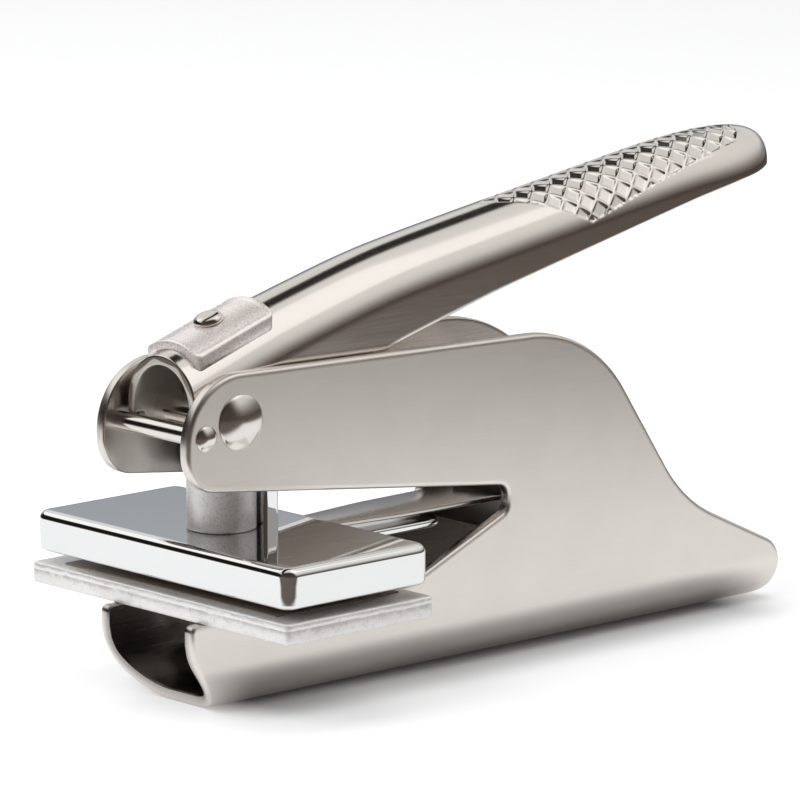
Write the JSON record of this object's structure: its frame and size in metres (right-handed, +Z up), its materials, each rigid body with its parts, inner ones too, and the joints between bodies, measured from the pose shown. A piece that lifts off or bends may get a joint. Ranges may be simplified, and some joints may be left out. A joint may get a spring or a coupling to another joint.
{
  "type": "seal embosser",
  "caption": "Hand lever embosser: bent sheet frame with two cheeks, sprung press plate and plunger between them, arched lever handle, two flat dies.",
  "frame": {"origin": "on the flat sole, straight below the plunger's axis", "axes": "+X from the nose to the tail, +Y to the far side, +Z up"},
  "size_m": [0.132, 0.0608, 0.0784],
  "materials": {
    "nickel_satin": "satin nickel plate over brushed sheet steel",
    "nickel_bright": "bright nickel plate, polished",
    "nickel_cast": "nickel-plated casting, fine tooth",
    "chrome_plate": "mirror-polished chrome plate",
    "steel_turned": "turned and bead-blasted steel",
    "steel_hard": "ground hardened steel",
    "steel_plain": "plain mild steel, darkened by oil",
    "spring_steel": "blued and plated spring steel",
    "brass_die": "engraved brass blank",
    "counter_die": "moulded counter-die resin",
    "zinc_cast": "rough cast zinc, wheel-cleaned edges",
    "screw_zinc": "zinc-plated steel"
  },
  "bodies": {
    "frame": {"frame_shell": "nickel_satin", "pivot_rivet": "nickel_bright", "stop_pin": "nickel_bright", "pivot_washers": "steel_plain", "guide_block": "steel_plain", "lower_plate": "zinc_cast", "lower_die": "counter_die", "locating_rail": "steel_plain", "rail_screws": "screw_zinc", "return_spring": "spring_steel", "spring_saddle": "steel_plain", "spring_clamp": "steel_plain", "clamp_screws": "screw_zinc"},
    "handle": {"handle_lever": "nickel_bright", "badge_plate": "nickel_cast", "badge_rivet": "nickel_bright", "roller_pin": "steel_hard"},
    "roller": {"pressure_roller": "steel_hard"},
    "press": {"plunger": "steel_turned", "guide_bar": "chrome_plate", "upper_plate": "chrome_plate", "upper_die": "brass_die", "press_screws": "screw_zinc", "press_tongue": "steel_plain"}
  },
  "joints": [
    {"name": "handle_pivot", "type": "hinge", "parent": "frame", "child": "handle", "pos_m": [-0.0055, 0, 0.0456], "axis": [0, 1, 0], "range_deg": [0, 13.83], "stiffness_Nm_per_rad": 0.24, "springref_deg": -20.63},
    {"name": "press_slide", "type": "slide", "parent": "frame", "child": "press", "axis": [0, 0, -1], "range_m": [0, 0.0014], "deforming": ["return_spring"]},
    {"name": "roller_spin", "type": "hinge", "parent": "handle", "child": "roller", "pos_m": [0.00026, 0, 0.0463], "axis": [0, 1, 0], "continuous": true}
  ],
  "couplings": [
    {"joint": "press_slide", "follows": "handle_pivot", "m_per_rad": 0.0058}
  ]
}
